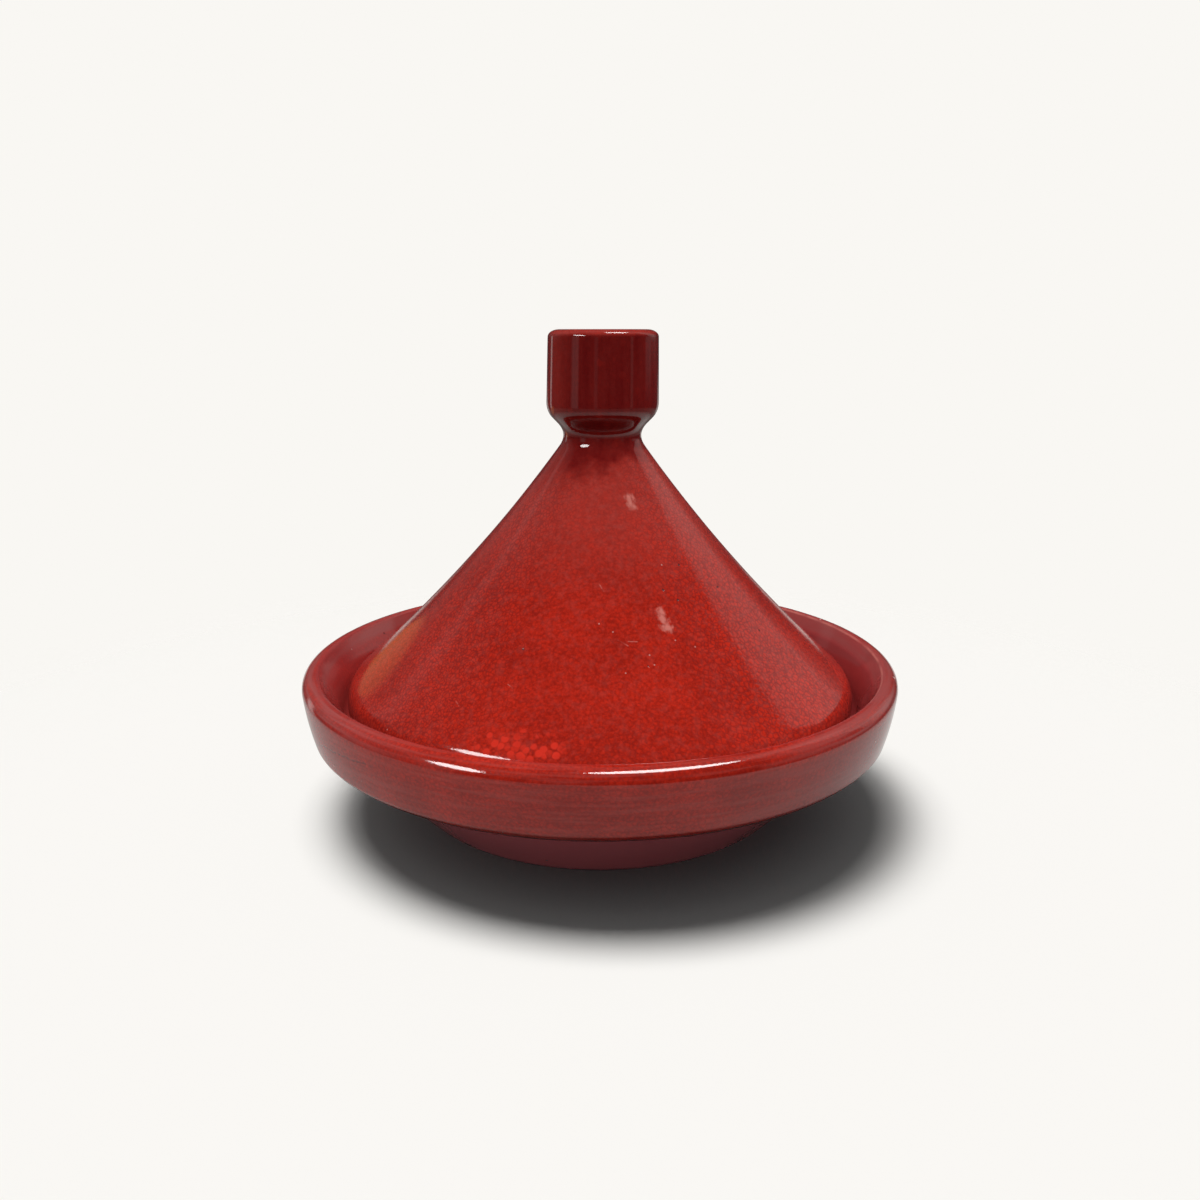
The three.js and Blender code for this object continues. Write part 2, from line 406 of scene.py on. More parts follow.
def dish_profile():
    """The dish's outline, from the middle of its underside round to the middle of its well."""
    rim_line = Vector((RIM_RADIUS, DISH_HEIGHT - RIM_ROUND))
    band_corner = Vector((RIM_RADIUS - BAND_TAPER, rim_line.y - BAND_DEPTH))
    bowl_top = Vector((RIM_RADIUS - BAND_OVERHANG, band_corner.y - UNDERSIDE_DROP))
    base = Vector((bowl_top.x - bowl_top.y * math.tan(BOWL_FLARE), 0))
    up_flare = Vector((math.sin(BOWL_FLARE), math.cos(BOWL_FLARE)))
    ring_outer = base.x - FOOT_ROUND
    ring_inner = ring_outer - FOOT_RING_WIDTH

    # Underside, foot ring and bowl
    path = Profile(0, FOOT_RECESS)
    path.line((ring_inner - FOOT_RECESS, FOOT_RECESS))
    path.line((ring_inner, 0))
    path.round_corner((ring_outer, 0), base, base + up_flare * FOOT_ROUND)
    path.line(bowl_top)

    # Band and rim
    band_foot = toward(band_corner, rim_line, BAND_CORNER_RISE)
    band_middle = (band_foot + rim_line) / 2 + Vector((BAND_SWELL, 0))
    rim_top = Vector((RIM_RADIUS - RIM_ROUND, DISH_HEIGHT))
    rim_corner = rim_top - Vector((RIM_INNER_ROUND, 0))
    seat_corner = Vector((RIM_RADIUS - SEAT_INSET, SEAT_HEIGHT))
    path.curve(band_corner, band_foot)
    path.curve(band_middle, rim_line)
    path.arc((rim_top.x, rim_line.y), (RIM_ROUND, RIM_ROUND), 0, 90)
    path.round_corner(rim_top, rim_corner, toward(rim_corner, seat_corner, RIM_INNER_ROUND),
                      CORNER_STEPS)

    # Inner wall, seat and well
    path.round_corner(toward(seat_corner, rim_corner, SEAT_FILLET), seat_corner,
                      seat_corner - Vector((SEAT_FILLET, 0)), CORNER_STEPS)
    mouth = Vector((seat_corner.x - SEAT_WIDTH, SEAT_HEIGHT))
    inside = bowl_top + Vector((-up_flare.y, up_flare.x)) * WELL_WALL
    knee = Vector((mouth.x, inside.y + (mouth.x - inside.x) / math.tan(BOWL_FLARE)))
    floor_corner = Vector((knee.x - (knee.y - WELL_FLOOR) * math.tan(BOWL_FLARE), WELL_FLOOR))
    path.round_corner(mouth + Vector((MOUTH_ROUND, 0)), mouth, mouth - Vector((0, MOUTH_ROUND)),
                      CORNER_STEPS)
    path.round_corner(knee + Vector((0, WELL_KNEE_ROUND)), knee, knee - up_flare * WELL_KNEE_ROUND)
    path.round_corner(floor_corner + up_flare * WELL_FLOOR_ROUND, floor_corner,
                      floor_corner - Vector((WELL_FLOOR_ROUND, 0)))
    path.line((0, WELL_FLOOR))
    return path.points


def lid_profile():
    """The lid's outline, from the tip of its hollow round to the middle of the knob's top."""
    knob_foot = Vector((KNOB_RADIUS, LID_TOP - KNOB_HEIGHT))
    knob_top_radius = KNOB_RADIUS - KNOB_TAPER
    neck = Vector((NECK_RADIUS, knob_foot.y - KNOB_CHAMFER_HEIGHT))
    edge = Vector((LID_EDGE_RADIUS, SEAT_HEIGHT + LID_EDGE_HEIGHT))
    shoulder = edge + Vector((0, LID_SHOULDER_RISE))
    flank_bend = sag_control(neck, shoulder, FLANK_SAG)
    ring_inner = edge.x - LID_RING_WIDTH

    # Hollow and resting ring
    flank_line = (shoulder - neck).normalized()
    wall_step = Vector((flank_line.y, -flank_line.x)) * LID_WALL
    tip = neck + wall_step
    inner = shoulder + wall_step
    inner_knee = toward(inner, tip, (inner.x - ring_inner) / flank_line.x)
    path = Profile(0, tip.y + HOLLOW_TIP_HEIGHT)
    path.curve((tip.x, tip.y + HOLLOW_TIP_HEIGHT), tip, CORNER_STEPS)
    path.curve(sag_control(tip, inner_knee, FLANK_SAG), inner_knee, HOLLOW_STEPS)
    path.round_corner((ring_inner, SEAT_HEIGHT + LID_RING_ROUND), (ring_inner, SEAT_HEIGHT),
                      (ring_inner + LID_RING_ROUND, SEAT_HEIGHT), CORNER_STEPS)

    # Edge, shoulder and swept flank
    path.line((edge.x - LID_EDGE_ROUND, SEAT_HEIGHT))
    path.arc((edge.x - LID_EDGE_ROUND, edge.y), (LID_EDGE_ROUND, LID_EDGE_HEIGHT), -90, 0)
    path.curve(shoulder, toward(shoulder, flank_bend, LID_SHOULDER_ROUND))
    path.curve(flank_bend, toward(neck, flank_bend, NECK_ROUND), FLANK_STEPS)

    # Neck and knob
    knob_side = Vector((knob_top_radius, LID_TOP - KNOB_TOP_ROUND))
    path.curve(neck, toward(neck, knob_foot, NECK_ROUND))
    path.round_corner(toward(knob_foot, neck, KNOB_FOOT_ROUND), knob_foot,
                      toward(knob_foot, knob_side, KNOB_FOOT_ROUND), KNOB_FOOT_STEPS)
    path.line(knob_side)
    path.arc((knob_top_radius - KNOB_TOP_REACH, knob_side.y), (KNOB_TOP_REACH, KNOB_TOP_ROUND), 0, 90)
    path.line((0, LID_TOP))
    return path.points


def leaned(place):
    """A place on the lid, in millimetres, as the lid leans a little on its seat."""
    return place + Vector((LID_LEAN * (place.z - SEAT_HEIGHT), 0, 0))


def uneven(place):
    """A place on the surface, in millimetres, after handwork that leaves the resting faces flat."""
    dip = sum(depth * (1 + noise.noise(place / breadth)) / 2 for depth, breadth in DIPS)
    free = min(1.0, place.z / CONTACT_CLEAR, abs(place.z - SEAT_HEIGHT) / CONTACT_CLEAR)
    outward = Vector((place.x, place.y, 0)).normalized()
    return place - dip * (outward + Vector((0, 0, DIP_DOWN * free)))


def settled_lid(place):
    """A place on the lid, in millimetres, after handwork, with the knob's top falling to the back."""
    reach = max(0.0, 1 - (LID_TOP - place.z) / KNOB_FALL_REACH)
    fall = KNOB_TOP_FALL * reach * (place.y + KNOB_RADIUS)
    return leaned(uneven(place - Vector((0, 0, fall))))


def turned(name, points, settle):
    """Turns a profile that starts and ends on the axis into a closed, smooth mesh with a map."""
    mesh = bmesh.new()
    chart = mesh.loops.layers.uv.new(UV_MAP)
    rings = []
    along = [0.0]
    for before, place in zip(points, points[1:]):
        along.append(along[-1] + (place - before).length)
    for place in points:
        ring = []
        for k in range(TURN_SEGMENTS if place.x > TINY else 1):
            angle = 2 * math.pi * k / TURN_SEGMENTS
            corner = Vector((place.x * math.sin(angle), place.x * math.cos(angle), place.y))
            ring.append(mesh.verts.new(settle(corner) * MM))
        rings.append(ring)
    for row in range(len(rings) - 1):
        for k in range(TURN_SEGMENTS):
            corners = {}
            for level, step in ((row, k), (row, k + 1), (row + 1, k + 1), (row + 1, k)):
                corners.setdefault(rings[level][step % len(rings[level])], (level, step))
            face = mesh.faces.new(list(corners))
            for loop in face.loops:
                level, step = corners[loop.vert]
                loop[chart].uv = (step / TURN_SEGMENTS, along[level] / along[-1])
    bmesh.ops.recalc_face_normals(mesh, faces=mesh.faces)
    data = bpy.data.meshes.new(name)
    mesh.to_mesh(data)
    mesh.free()
    data.shade_smooth()
    piece = bpy.data.objects.new(name, data)
    bpy.context.scene.collection.objects.link(piece)
    return piece


def on_surface(points, mark):
    """The outermost place of a turned profile at a mark's height, on the side that it names."""
    azimuth, height = mark
    radius = 0.0
    for before, after in zip(points, points[1:]):
        if min(before.y, after.y) <= height < max(before.y, after.y):
            share = (height - before.y) / (after.y - before.y)
            radius = max(radius, before.lerp(after, share).x)
    angle = math.radians(azimuth)
    return Vector((radius * math.sin(angle), -radius * math.cos(angle), height))


class Nodes:
    """Short calls for building a material's node tree."""

    def __init__(self, tree):
        self.tree = tree

    def add(self, kind, inputs=None, **settings):
        node = self.tree.nodes.new(kind)
        for key, value in settings.items():
            setattr(node, key, value)
        for key, value in (inputs or {}).items():
            self.put(node.inputs[key], value)
        return node

    def put(self, socket, value):
        """Links an output to a socket, or sets the socket's own value."""
        if isinstance(value, bpy.types.NodeSocket):
            self.tree.links.new(value, socket)
        else:
            socket.default_value = value

    def math(self, operation, a, b=0.0, clamp=False):
        return self.add("ShaderNodeMath", {0: a, 1: b}, operation=operation, use_clamp=clamp).outputs[0]

    def times(self, a, b):
        return self.math("MULTIPLY", a, b)

    def scale(self, vector, factor):
        node = self.add("ShaderNodeVectorMath", {0: vector, "Scale": factor}, operation="SCALE")
        return node.outputs["Vector"]

    def mix(self, share, a, b, blend="MIX"):
        node = self.add("ShaderNodeMix", data_type="RGBA", blend_type=blend)
        self.put(node.inputs["Factor"], share)
        self.put(node.inputs["A"], a)
        self.put(node.inputs["B"], b)
        return node.outputs["Result"]

    def span(self, value, low, high, to_low=0.0, to_high=1.0, smooth=True):
        """Maps a value from one span to another, held at the ends."""
        node = self.add("ShaderNodeMapRange", interpolation_type="SMOOTHSTEP" if smooth else "LINEAR")
        for key, number in zip(("Value", "From Min", "From Max", "To Min", "To Max"),
                               (value, low, high, to_low, to_high)):
            self.put(node.inputs[key], number)
        return node.outputs["Result"]

    def plateau(self, value, start, full, late, end):
        """Rises from zero to one between the first two values and falls between the last two."""
        return self.times(self.span(value, start, full), self.span(value, late, end, 1.0, 0.0))

    def noise(self, vector, scale, detail=2.0, output="Fac"):
        node = self.add("ShaderNodeTexNoise", {"Vector": vector, "Scale": scale, "Detail": detail})
        return node.outputs[output]

    def voronoi(self, vector, scale, output="Distance", feature="F1", chance=1.0):
        node = self.add("ShaderNodeTexVoronoi", {"Vector": vector, "Scale": scale, "Randomness": chance},
                        feature=feature)
        return node.outputs[output]

    def vector(self, operation, a, b, output="Vector"):
        return self.add("ShaderNodeVectorMath", {0: a, 1: b}, operation=operation).outputs[output]

    def length(self, vector):
        return self.vector("LENGTH", vector, (0, 0, 0), "Value")

    def part(self, vector, axis):
        return self.add("ShaderNodeSeparateXYZ", {0: vector}).outputs[axis]

    def nearest(self, place, lines):
        """Distance from a place to the nearest of some straight lines."""
        nearest = None
        for start, end in lines:
            way = end - start
            offset = self.vector("SUBTRACT", place, start)
            share = self.vector("DOT_PRODUCT", offset, way / way.length_squared, "Value")
            share = self.math("ADD", share, 0.0, clamp=True)
            distance = self.vector("DISTANCE", offset, self.scale(way, share), "Value")
            nearest = distance if nearest is None else self.math("MINIMUM", nearest, distance)
        return nearest


def rgb(red, green, blue):
    return (red, green, blue, 1.0)


class Glaze:
    """A glossy glaze on clay, built up from its body, crackle and marks, with sizes in millimetres."""

    def __init__(self, name):
        self.material = bpy.data.materials.new(name)
        self.material.use_nodes = True
        self.n = Nodes(self.material.node_tree)
        n = self.n
        self.place = n.scale(n.add("ShaderNodeTexCoord").outputs["Object"], 1 / MM)
        self.side = n.part(self.place, "X")
        self.height = n.part(self.place, "Z")
        self.flat = n.vector("MULTIPLY", self.place, (1, 1, 0))
        self.radius = n.length(self.flat)
        self.colour = None
        self.rough = GLAZE_ROUGH
        self.relief = n.times(n.noise(self.place, *RIPPLE_NOISE), RIPPLE_HEIGHT)

    def body(self, cloudiness):
        """Red glaze, deeper and brighter in soft clouds."""
        n = self.n
        tones = (BODY_TONE - cloudiness, BODY_TONE + cloudiness)
        clouds = n.span(n.noise(self.place, *CLOUD_NOISE), *MIDTONES, *tones)
        grain = n.span(n.noise(self.place, *GRAIN_NOISE), *MIDTONES, -GRAIN_DEPTH, GRAIN_DEPTH)
        self.colour = n.mix(n.math("ADD", clouds, grain), rgb(*DEEP_RED), rgb(*BRIGHT_RED))

    def crackle(self, strength, fineness=1 / CELL):
        """Rounded cells of nearly one size, each with its own tone. Returns the grooves between them."""
        n = self.n
        stray = n.scale(n.noise(self.place, *WANDER_NOISE, "Color"), CELL_WANDER)
        wander = n.vector("ADD", self.place, stray)
        edge = n.voronoi(wander, fineness, feature="DISTANCE_TO_EDGE", chance=CELL_CHANCE)
        tone = n.part(n.voronoi(wander, fineness, "Color", chance=CELL_CHANCE), "X")
        bright = n.math("ADD", n.span(edge, *CELL_MIDDLE), n.span(tone, *BRIGHT_CELLS))
        lit = n.times(bright, strength)
        self.colour = n.mix(lit, self.colour, rgb(*BRIGHT_RED))
        dim = n.times(n.span(tone, *DIM_CELLS), strength)
        line = n.times(n.span(edge, *GROOVE), strength)
        dark = n.math("MAXIMUM", dim, n.times(line, GROOVE_DARKNESS))
        self.colour = n.mix(dark, self.colour, rgb(*LINE_RED))
        self.rough = n.span(line, *GROOVE_ROUGH, smooth=False)
        dome = n.times(n.span(edge, *CELL_DOME), n.times(strength, CELL_DOME_HEIGHT))
        self.relief = n.math("ADD", self.relief, dome)
        return line

    def mark(self, share, colour, roughness=None, dent=0.0):
        """Lays a mark over the glaze, where its share says."""
        n = self.n
        self.colour = n.mix(share, self.colour, rgb(*colour))
        if roughness is not None:
            change = n.math("SUBTRACT", roughness, self.rough)
            self.rough = n.math("ADD", self.rough, n.times(change, share))
        if dent:
            self.relief = n.math("SUBTRACT", self.relief, n.times(share, dent))

    def line_marks(self, lines, width, wander):
        """Share of a place that thin marks take up, broken here and there."""
        n = self.n
        swing = n.vector("SUBTRACT", n.noise(self.place, *STRAY_NOISE, "Color"), MIDDLE_GREY)
        distance = n.nearest(n.vector("ADD", self.place, n.scale(swing, wander)), lines)
        broken = n.span(n.noise(self.place, *BREAK_NOISE), *MARK_BREAKS)
        return n.times(n.span(distance, width * MARK_CORE, width, 1.0, 0.0), broken)

    def spots(self, places, size):
        """Share of a place that round spots take up."""
        n = self.n
        way = Vector((0, 0, size * SPOT_LENGTH))
        distance = n.nearest(self.place, [(place, place + way) for place in places])
        return n.span(distance, size * SPOT_CORE, size, 1.0, 0.0)

    def strewn_spots(self, offset, size, share):
        """Share of a place that spots strewn by chance take up."""
        n = self.n
        place = n.vector("ADD", self.place, offset)
        reach = size / STREWN_SPACING
        near = n.span(n.voronoi(place, 1 / STREWN_SPACING), reach * MARK_CORE, reach, 1.0, 0.0)
        tone = n.voronoi(place, 1 / STREWN_SPACING, "Color")
        pick = n.add("ShaderNodeSeparateColor", {0: tone}).outputs[0]
        return n.times(near, n.math("LESS_THAN", pick, share))

    def bare_clay(self, face):
        """Unglazed clay on the resting face at the given height, with a ragged edge."""
        n = self.n
        top = face + CLAY_TOP
        grain = n.noise(self.place, *CLAY_NOISE)
        ragged = n.math("ADD", self.height, n.times(grain, CLAY_RAGGED))
        bare = n.span(ragged, top, top + CLAY_FADE, 1.0, 0.0)
        shade = rgb(*(CLAY_SHADE * part for part in CLAY))
        speckled = n.mix(n.span(grain, *MIDTONES), rgb(*CLAY), shade)
        self.colour = n.mix(bare, self.colour, speckled)
        self.rough = n.math("MAXIMUM", self.rough, n.times(bare, CLAY_ROUGH))

    def finish(self):
        """Puts colour, roughness and relief into the shader and returns the material."""
        n = self.n
        shader = self.material.node_tree.nodes["Principled BSDF"]
        n.put(shader.inputs["Base Color"], self.colour)
        smears = n.span(n.noise(self.place, *SMEAR_NOISE), *SMEARS)
        n.put(shader.inputs["Roughness"], n.math("ADD", self.rough, smears))
        bump = n.add("ShaderNodeBump", {"Strength": 1.0, "Distance": MM, "Height": self.relief})
        n.put(shader.inputs["Normal"], bump.outputs["Normal"])
        return self.material


def lid_glaze(points):
    """Crackled on the flank, smooth and dark on the knob, with painted light, shade, sheen and
    highlights, and small wear in front.
    """
    def spot(mark):
        return leaned(on_surface(points, mark))

    def lines(marks):
        return [(spot(start), spot(end)) for start, end in marks]

    glaze = Glaze("lid_glaze")
    n = glaze.n

    # Where the dark knob glaze starts, low over the neck as painted shade, and how strongly the flank is
    # crazed
    wobble = n.span(n.noise(glaze.place, *KNOB_FOOT_NOISE), *KNOB_WOBBLE, smooth=False)
    slanted = n.math("ADD", n.math("ADD", glaze.height, wobble), n.times(glaze.side, KNOB_SLANT))
    knob = n.span(slanted, *KNOB_AND_NECK_SHADE_HEIGHTS)
    turned_away = n.math("DIVIDE", n.math("ABSOLUTE", glaze.side), glaze.radius)
    crazed = n.math("MAXIMUM", n.span(turned_away, *CRAZED_SIDES), n.span(glaze.height, *CRAZED_FOOT))
    clear = n.times(crazed, n.span(knob, *CRAZED_KNOB))

    # Body, crackle, random mottle, and a painted sheen that grows towards the neck
    glaze.body(LID_CLOUDS)
    fineness = n.span(glaze.side, -LID_EDGE_RADIUS, LID_EDGE_RADIUS, 1 / CELL_LEFT, 1 / CELL_RIGHT, False)
    grooves = glaze.crackle(clear, fineness)
    mottle = n.span(n.noise(glaze.place, *MOTTLE_NOISE), *MOTTLE)
    mottle_and_sheen = n.math("ADD", mottle, n.span(glaze.height, *NECK_SHEEN_HEIGHT, *NECK_SHEEN_SHARE), clamp=True)
    glaze.mark(mottle_and_sheen, MOTTLE_AND_SHEEN_RED)
    glaze.mark(n.times(grooves, n.span(glaze.height, *NECK_SHEEN_HEIGHT, *DULL_GROOVES)), LINE_RED)

    # Dark, streaked knob with a brighter edge, lighter at its left as painted light
    stretched = n.vector("MULTIPLY", glaze.place, KNOB_STRETCH)
    streaks = n.span(n.noise(stretched, 1.0, KNOB_STREAK_LAYERS), *KNOB_STREAKS)
    grain = n.span(n.noise(glaze.place, *KNOB_GRAIN_NOISE), *KNOB_GRAIN)
    thin_and_left_light = n.times(n.times(streaks, n.span(glaze.side, *KNOB_LEFT_LIGHT)), grain)
    edge = n.span(glaze.height, LID_TOP - KNOB_EDGE[0], LID_TOP - KNOB_EDGE[1], *KNOB_EDGE_SHARE)
    glaze.mark(n.times(knob, n.times(thin_and_left_light, edge)), KNOB_RED)

    # Painted highlight: crackle cells lit up in front
    near = n.span(n.nearest(glaze.place, lines(GLOW)), *GLOW_REACH)
    tone = n.part(n.voronoi(glaze.place, 1 / GLOW_CELL, "Color"), "X")
    bright = n.span(n.math("ADD", n.times(tone, GLOW_TONE), near), *GLOW_LIT)
    rounded = n.span(n.voronoi(glaze.place, 1 / GLOW_CELL), *GLOW_ROUND)
    glaze.mark(n.times(bright, rounded), PAINTED_GLOW_RED)

    # Specks, scratches and scuffs
    strewn = glaze.strewn_spots(*LID_PALE_STREWN)
    glaze.mark(n.times(strewn, STREWN_STRENGTH), PALE_MARK, *LID_PALE_FINISH)
    glaze.mark(glaze.strewn_spots(*LID_DARK_STREWN), DARK_MARK, *LID_DARK_FINISH)
    specks = glaze.spots([spot(mark) for mark in PALE_SPECKS], PALE_SPECK)
    glaze.mark(n.times(specks, PALE_SPECK_STRENGTH), PALE_MARK, *LID_PALE_FINISH)
    specks = glaze.spots([spot(mark) for mark in DARK_SPECKS], DARK_SPECK)
    glaze.mark(specks, DARK_MARK, *LID_DARK_FINISH)
    scratches = glaze.line_marks(lines(SCRATCHES), SCRATCH_WIDTH, SCRATCH_WANDER)
    glaze.mark(n.times(scratches, SCRATCH_STRENGTH), WEAR_AND_GLINT_RED, SCRATCH_ROUGH)
    stretched = n.vector("MULTIPLY", glaze.place, SCUFF_STRETCH)
    ragged = n.times(n.noise(stretched, 1.0, SCUFF_LAYERS), SCUFF_RAGGED)
    film = n.span(n.math("ADD", n.nearest(glaze.place, lines(SCUFFS)), ragged), *SCUFF_SPAN)
    glaze.mark(film, WEAR_AND_GLINT_RED, SCUFF_ROUGH)

    # Painted shade at the lid's lower edge by the gap, and bare resting ring
    gap_shade = [SEAT_HEIGHT + rise for rise in LID_GAP_SHADE]
    glaze.mark(n.span(glaze.height, *gap_shade, *LID_GAP_SHADE_SHARE), SHADE_RED)
    glaze.bare_clay(SEAT_HEIGHT)
    return glaze.finish()


def dish_glaze(points):
    """Softly clouded and streaked, with painted light on the bowl, painted shade and sheen, a painted
    highlight and chips at the rim, and bare under the foot.
    """
    glaze = Glaze("dish_glaze")
    n = glaze.n
    glaze.body(DISH_CLOUDS)
    glaze.crackle(DISH_CRACKLE)

    # Streaks that run round, calmer in the well
    across = n.math("SUBTRACT", n.times(glaze.height, STREAK_RISE), n.times(glaze.radius, STREAK_SPREAD))
    along = n.scale(glaze.flat, n.math("DIVIDE", STREAKS, glaze.radius))
    turned_place = n.vector("ADD", along, n.add("ShaderNodeCombineXYZ", {"Z": across}).outputs[0])
    streaks = n.noise(turned_place, 1.0, STREAK_LAYERS)
    calm = n.span(glaze.radius, *STREAK_CALM)
    glaze.mark(n.times(n.span(streaks, *STREAK_SHARE), calm), MOTTLE_AND_SHEEN_RED)

    # Tone of the inner wall, painted shade on the band's right, a painted sheen at the lip's sides, and
    # painted light on the bowl
    rim_top = RIM_RADIUS - RIM_ROUND
    within = n.span(glaze.radius, *(rim_top + step for step in WALL_TOP), 1.0, 0.0)
    wall = n.times(within, n.span(glaze.height, SEAT_HEIGHT - WALL_FOOT, SEAT_HEIGHT))
    glaze.mark(n.times(wall, n.span(glaze.side, *WALL_SIDES)), WALL_RED)
    band_shade = n.span(glaze.height, *(DISH_HEIGHT - depth for depth in BAND_SHADE_TOP), *BAND_SHADE_SHARE)
    glaze.mark(n.times(band_shade, n.span(glaze.side, *BAND_SHADE_SIDE)), SHADE_RED)
    # Painted sheen on the lip at the sides, broken by the streaks
    sideways = n.span(n.math("ABSOLUTE", glaze.side), *LIP_SHEEN_SIDES)
    lip_sheen = n.times(n.span(glaze.height, *(DISH_HEIGHT - depth for depth in LIP_SHEEN_DEPTH)), sideways)
    glaze.mark(n.times(lip_sheen, n.span(streaks, *LIP_SHEEN_STREAKS)), RIM_SHEEN_RED)
    # Painted light on the bowl below the band
    low = n.span(glaze.height, *(SEAT_HEIGHT - depth for depth in BOWL_TOP), 1.0, 0.0)
    foot_radius = n.math("SUBTRACT", glaze.radius, n.times(glaze.height, math.tan(BOWL_FLARE)))
    outside = n.span(foot_radius, *BOWL_FOOT)
    glaze.mark(n.times(n.times(low, outside), BOWL_LIGHT_SHARE), BOWL_LIT_RED)

    # Painted highlight: a broken pale line along the rim's inner edge, at the right
    corner = n.add("ShaderNodeCombineXYZ", {
        "X": n.math("SUBTRACT", glaze.radius, rim_top - RIM_INNER_ROUND),
        "Y": n.math("SUBTRACT", glaze.height, DISH_HEIGHT - RIM_INNER_ROUND / 2)}).outputs[0]
    broken = n.span(n.noise(glaze.place, *RIM_EDGE_GLINT_NOISE), *RIM_EDGE_GLINT)
    broken = n.times(broken, n.span(glaze.side, *RIM_EDGE_GLINT_SIDE))
    glaze.mark(n.times(n.span(n.length(corner), *RIM_EDGE_GLINT_WIDTH), broken), WEAR_AND_GLINT_RED)

    # Chips, specks, the hairline and the bare foot ring
    chips = glaze.spots([on_surface(points, mark) for mark in CHIPS], CHIP)
    glaze.mark(chips, PALE_MARK, *CHIP_FINISH)
    glaze.mark(glaze.strewn_spots(*DISH_DARK_STREWN), DARK_MARK, *DISH_DARK_FINISH)
    glaze.mark(glaze.strewn_spots(*DISH_PALE_STREWN), PALE_MARK, *DISH_PALE_FINISH)
    bends = [on_surface(points, mark) for mark in HAIRLINE]
    crack = glaze.line_marks(list(zip(bends, bends[1:])), HAIRLINE_WIDTH, HAIRLINE_WANDER)
    glaze.mark(n.times(crack, HAIRLINE_STRENGTH), CRACK_RED, *HAIRLINE_FINISH)
    glaze.bare_clay(0.0)
    return glaze.finish()


def light_paths(n):
    """Whether the camera sees a place straight, and whether gloss or glass shows it."""
    path = n.add("ShaderNodeLightPath").outputs
    return path["Is Camera Ray"], n.math("MAXIMUM", path["Is Glossy Ray"], path["Is Transmission Ray"])


def make_floor():
    """A pale floor that carries the shadow, fades into the background and is clear from below."""
    bpy.ops.mesh.primitive_circle_add(vertices=FLOOR_SEGMENTS, radius=FLOOR_RADIUS, fill_type="NGON")
    floor = bpy.context.object
    floor.name = "floor"
    material = bpy.data.materials.new("floor")
    material.use_nodes = True
    tree = material.node_tree
    n = Nodes(tree)
    shader = tree.nodes["Principled BSDF"]
    place = n.add("ShaderNodeTexCoord").outputs["Object"]
    camera, gloss = light_paths(n)
    mirrored = n.span(n.part(place, "X"), *FLOOR_MIRRORED_X, *FLOOR_MIRRORED)
    pale = n.mix(gloss, rgb(*BACKGROUND), mirrored, "MULTIPLY")
    n.put(shader.inputs["Base Color"], n.mix(n.math("MAXIMUM", camera, gloss), rgb(*TABLE), pale))
    shader.inputs["Roughness"].default_value = FLOOR_ROUGH
    shader.inputs["Specular IOR Level"].default_value = 0.0
    from_below = n.add("ShaderNodeNewGeometry").outputs["Backfacing"]
    fade = n.math("MAXIMUM", n.span(n.length(place), FLOOR_FADE, FLOOR_RADIUS), from_below)
    clear = n.add("ShaderNodeBsdfTransparent").outputs[0]
    blend = n.add("ShaderNodeMixShader", {0: fade, 1: shader.outputs[0], 2: clear}).outputs[0]
    n.put(tree.nodes["Material Output"].inputs["Surface"], blend)
    floor.data.materials.append(material)
    return floor


def make_world():
    """A pale backdrop for the camera, and a dim room with cards in it for the gloss."""
    world = bpy.data.worlds.new("studio")
    bpy.context.scene.world = world
    world.use_nodes = True
    tree = world.node_tree
    n = Nodes(tree)
    way = n.add("ShaderNodeTexCoord").outputs["Generated"]
    toward_viewer = n.times(n.part(way, "Y"), -1.0)
    azimuth = n.math("DEGREES", n.math("ARCTAN2", n.part(way, "X"), toward_viewer))
    height = n.math("DEGREES", n.math("ARCSINE", n.part(way, "Z")))
    mirrored = rgb(*ROOM)
    for azimuths, heights, colour in CARDS.values():
        card = n.times(n.plateau(azimuth, *azimuths), n.plateau(height, *heights))
        mirrored = n.mix(card, mirrored, rgb(*colour))
    camera, gloss = light_paths(n)
    unseen = n.mix(gloss, rgb(*ROOM), mirrored)
    n.put(tree.nodes["Background"].inputs["Color"], n.mix(camera, unseen, rgb(*BACKGROUND)))


def lamp_for(name, lamp, lit):
    """Puts a lamp into the scene that lights only some of the objects."""
    holder = bpy.data.objects.new(name, lamp)
    bpy.context.scene.collection.objects.link(holder)
    group = bpy.data.collections.new(name)
    for each in lit:
        group.objects.link(each)
    holder.light_linking.receiver_collection = group
    return holder


def strip_light(name, start, end, width, brightness, colour, lit):
    """A long, round-ended lamp for the gloss, facing the object."""
    start, end = Vector(start), Vector(end)
    lamp = bpy.data.lights.new(name, "AREA")
    lamp.shape = "ELLIPSE"
    lamp.size = (end - start).length
    lamp.size_y = width
    lamp.color = colour
    lamp.energy = brightness * math.pi * (math.pi / 4 * lamp.size * lamp.size_y)
    along = (end - start).normalized()
    middle = (start + end) / 2
    across = middle.cross(along).normalized()
    turn = Matrix((along, across, along.cross(across))).transposed().to_4x4()
    holder = lamp_for(name, lamp, lit)
    holder.matrix_world = Matrix.Translation(middle + Vector((0, 0, DISH_HEIGHT * MM))) @ turn
    holder.visible_diffuse = False
    holder.visible_camera = False


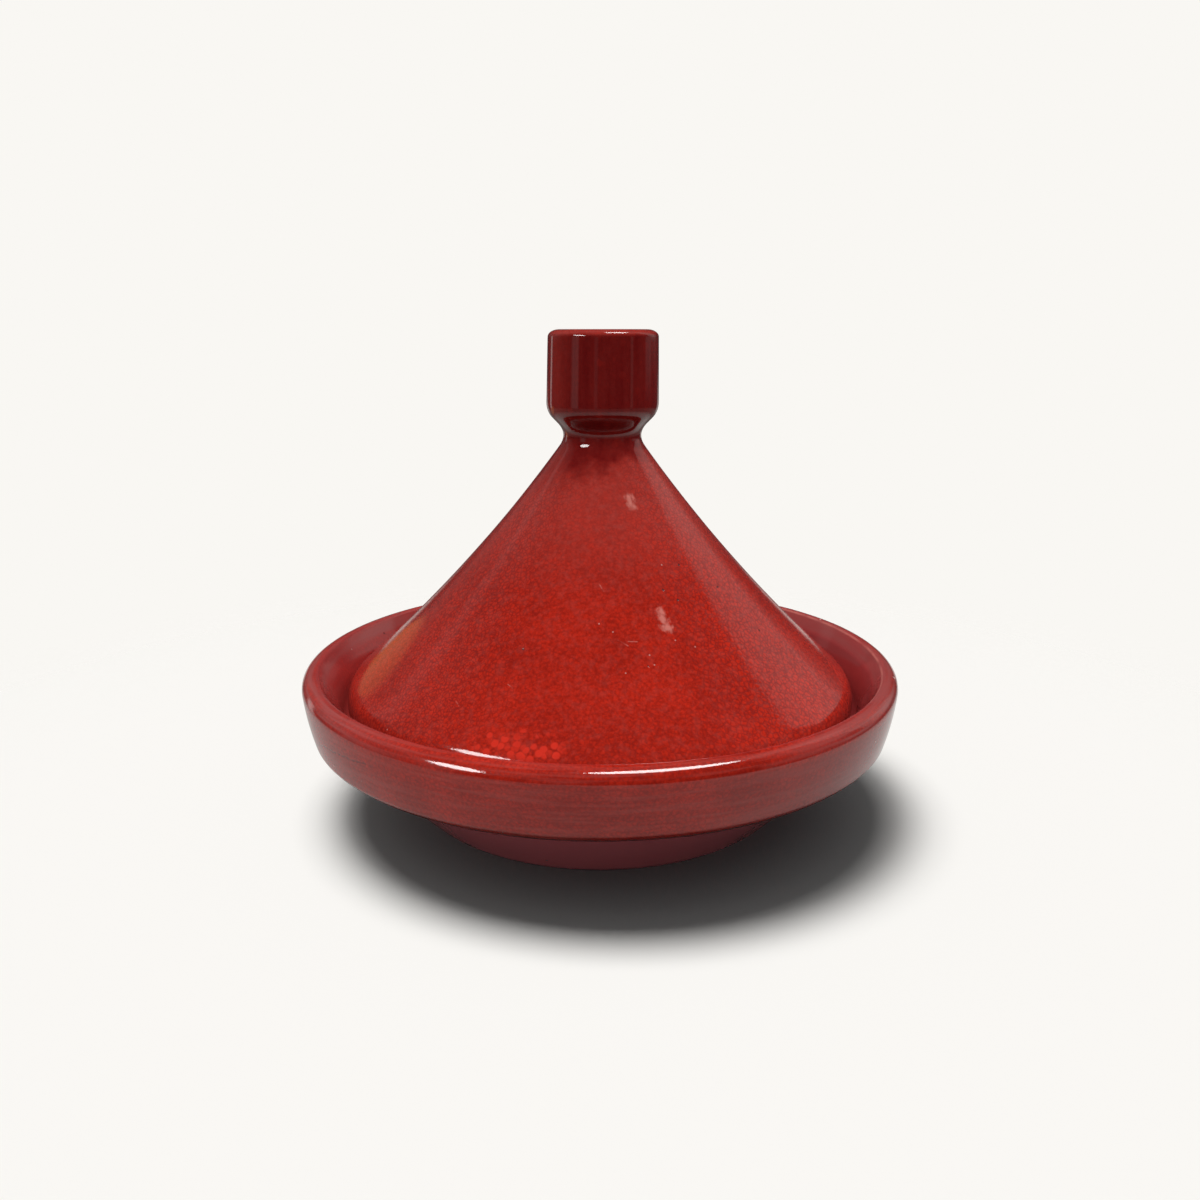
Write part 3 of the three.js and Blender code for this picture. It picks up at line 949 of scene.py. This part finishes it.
def soft_light(name, way, level, angle, lit):
    """Even light from a wide round patch of the sky."""
    lamp = bpy.data.lights.new(name, "SUN")
    lamp.energy = level
    lamp.angle = math.radians(angle)
    holder = lamp_for(name, lamp, lit)
    holder.rotation_euler = Vector(way).to_track_quat("Z", "Y").to_euler()
    holder.visible_glossy = False


def make_lights(dish, lid, floor):
    """A soft sky and fills on the object, two suns that cast its shadow, and long lamps for the gloss."""
    soft_light("sky", *SKY, [dish, lid])
    soft_light("lid_fill", *LID_FILL, [lid])
    soft_light("dish_fill", *DISH_FILL, [dish])
    soft_light("sun_left", *SUN_LEFT, [floor])
    soft_light("sun_right", *SUN_RIGHT, [floor])
    soft_light("floor_fill", *FLOOR_FILL, [floor])
    strip_light("rim_strip", *RIM_STRIP, [dish])
    strip_light("knob_strip", *KNOB_STRIP, [lid])
    strip_light("dish_strip", *DISH_STRIP, [dish])
    strip_light("lid_strip", *LID_STRIP, [lid])
    strip_light("warm_strip", *WARM_STRIP, [lid])


def make_camera():
    """The camera of the photograph, in front of the object and looking down a little."""
    data = bpy.data.cameras.new("camera")
    data.sensor_width = SENSOR_WIDTH
    data.lens = SENSOR_WIDTH * FOCAL_PIXELS / PHOTO_PIXELS
    data.clip_start = CLIP_START
    camera = bpy.data.objects.new("camera", data)
    camera.matrix_world = (Matrix.Translation((0, -CAMERA_DISTANCE * MM, CAMERA_HEIGHT * MM))
                           @ Matrix.Rotation(math.radians(90 - CAMERA_PITCH), 4, "X"))
    bpy.context.scene.collection.objects.link(camera)
    bpy.context.scene.camera = camera


def make_object():
    """The dish and the lid, each in place of its solid."""
    points = dish_profile()
    dish = turned("dish_body", points, uneven)
    dish.data.materials.append(dish_glaze(points))
    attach(dish, "dish")
    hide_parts("base_dish")
    dish.visible_diffuse = False

    points = lid_profile()
    lid = turned("lid_body", points, settled_lid)
    lid.data.materials.append(lid_glaze(points))
    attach(lid, "lid")
    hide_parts("conical_lid")
    return dish, lid


bpy.context.scene.view_settings.view_transform = "Standard"
dish, lid = make_object()
floor = make_floor()
make_world()
make_lights(dish, lid, floor)
make_camera()
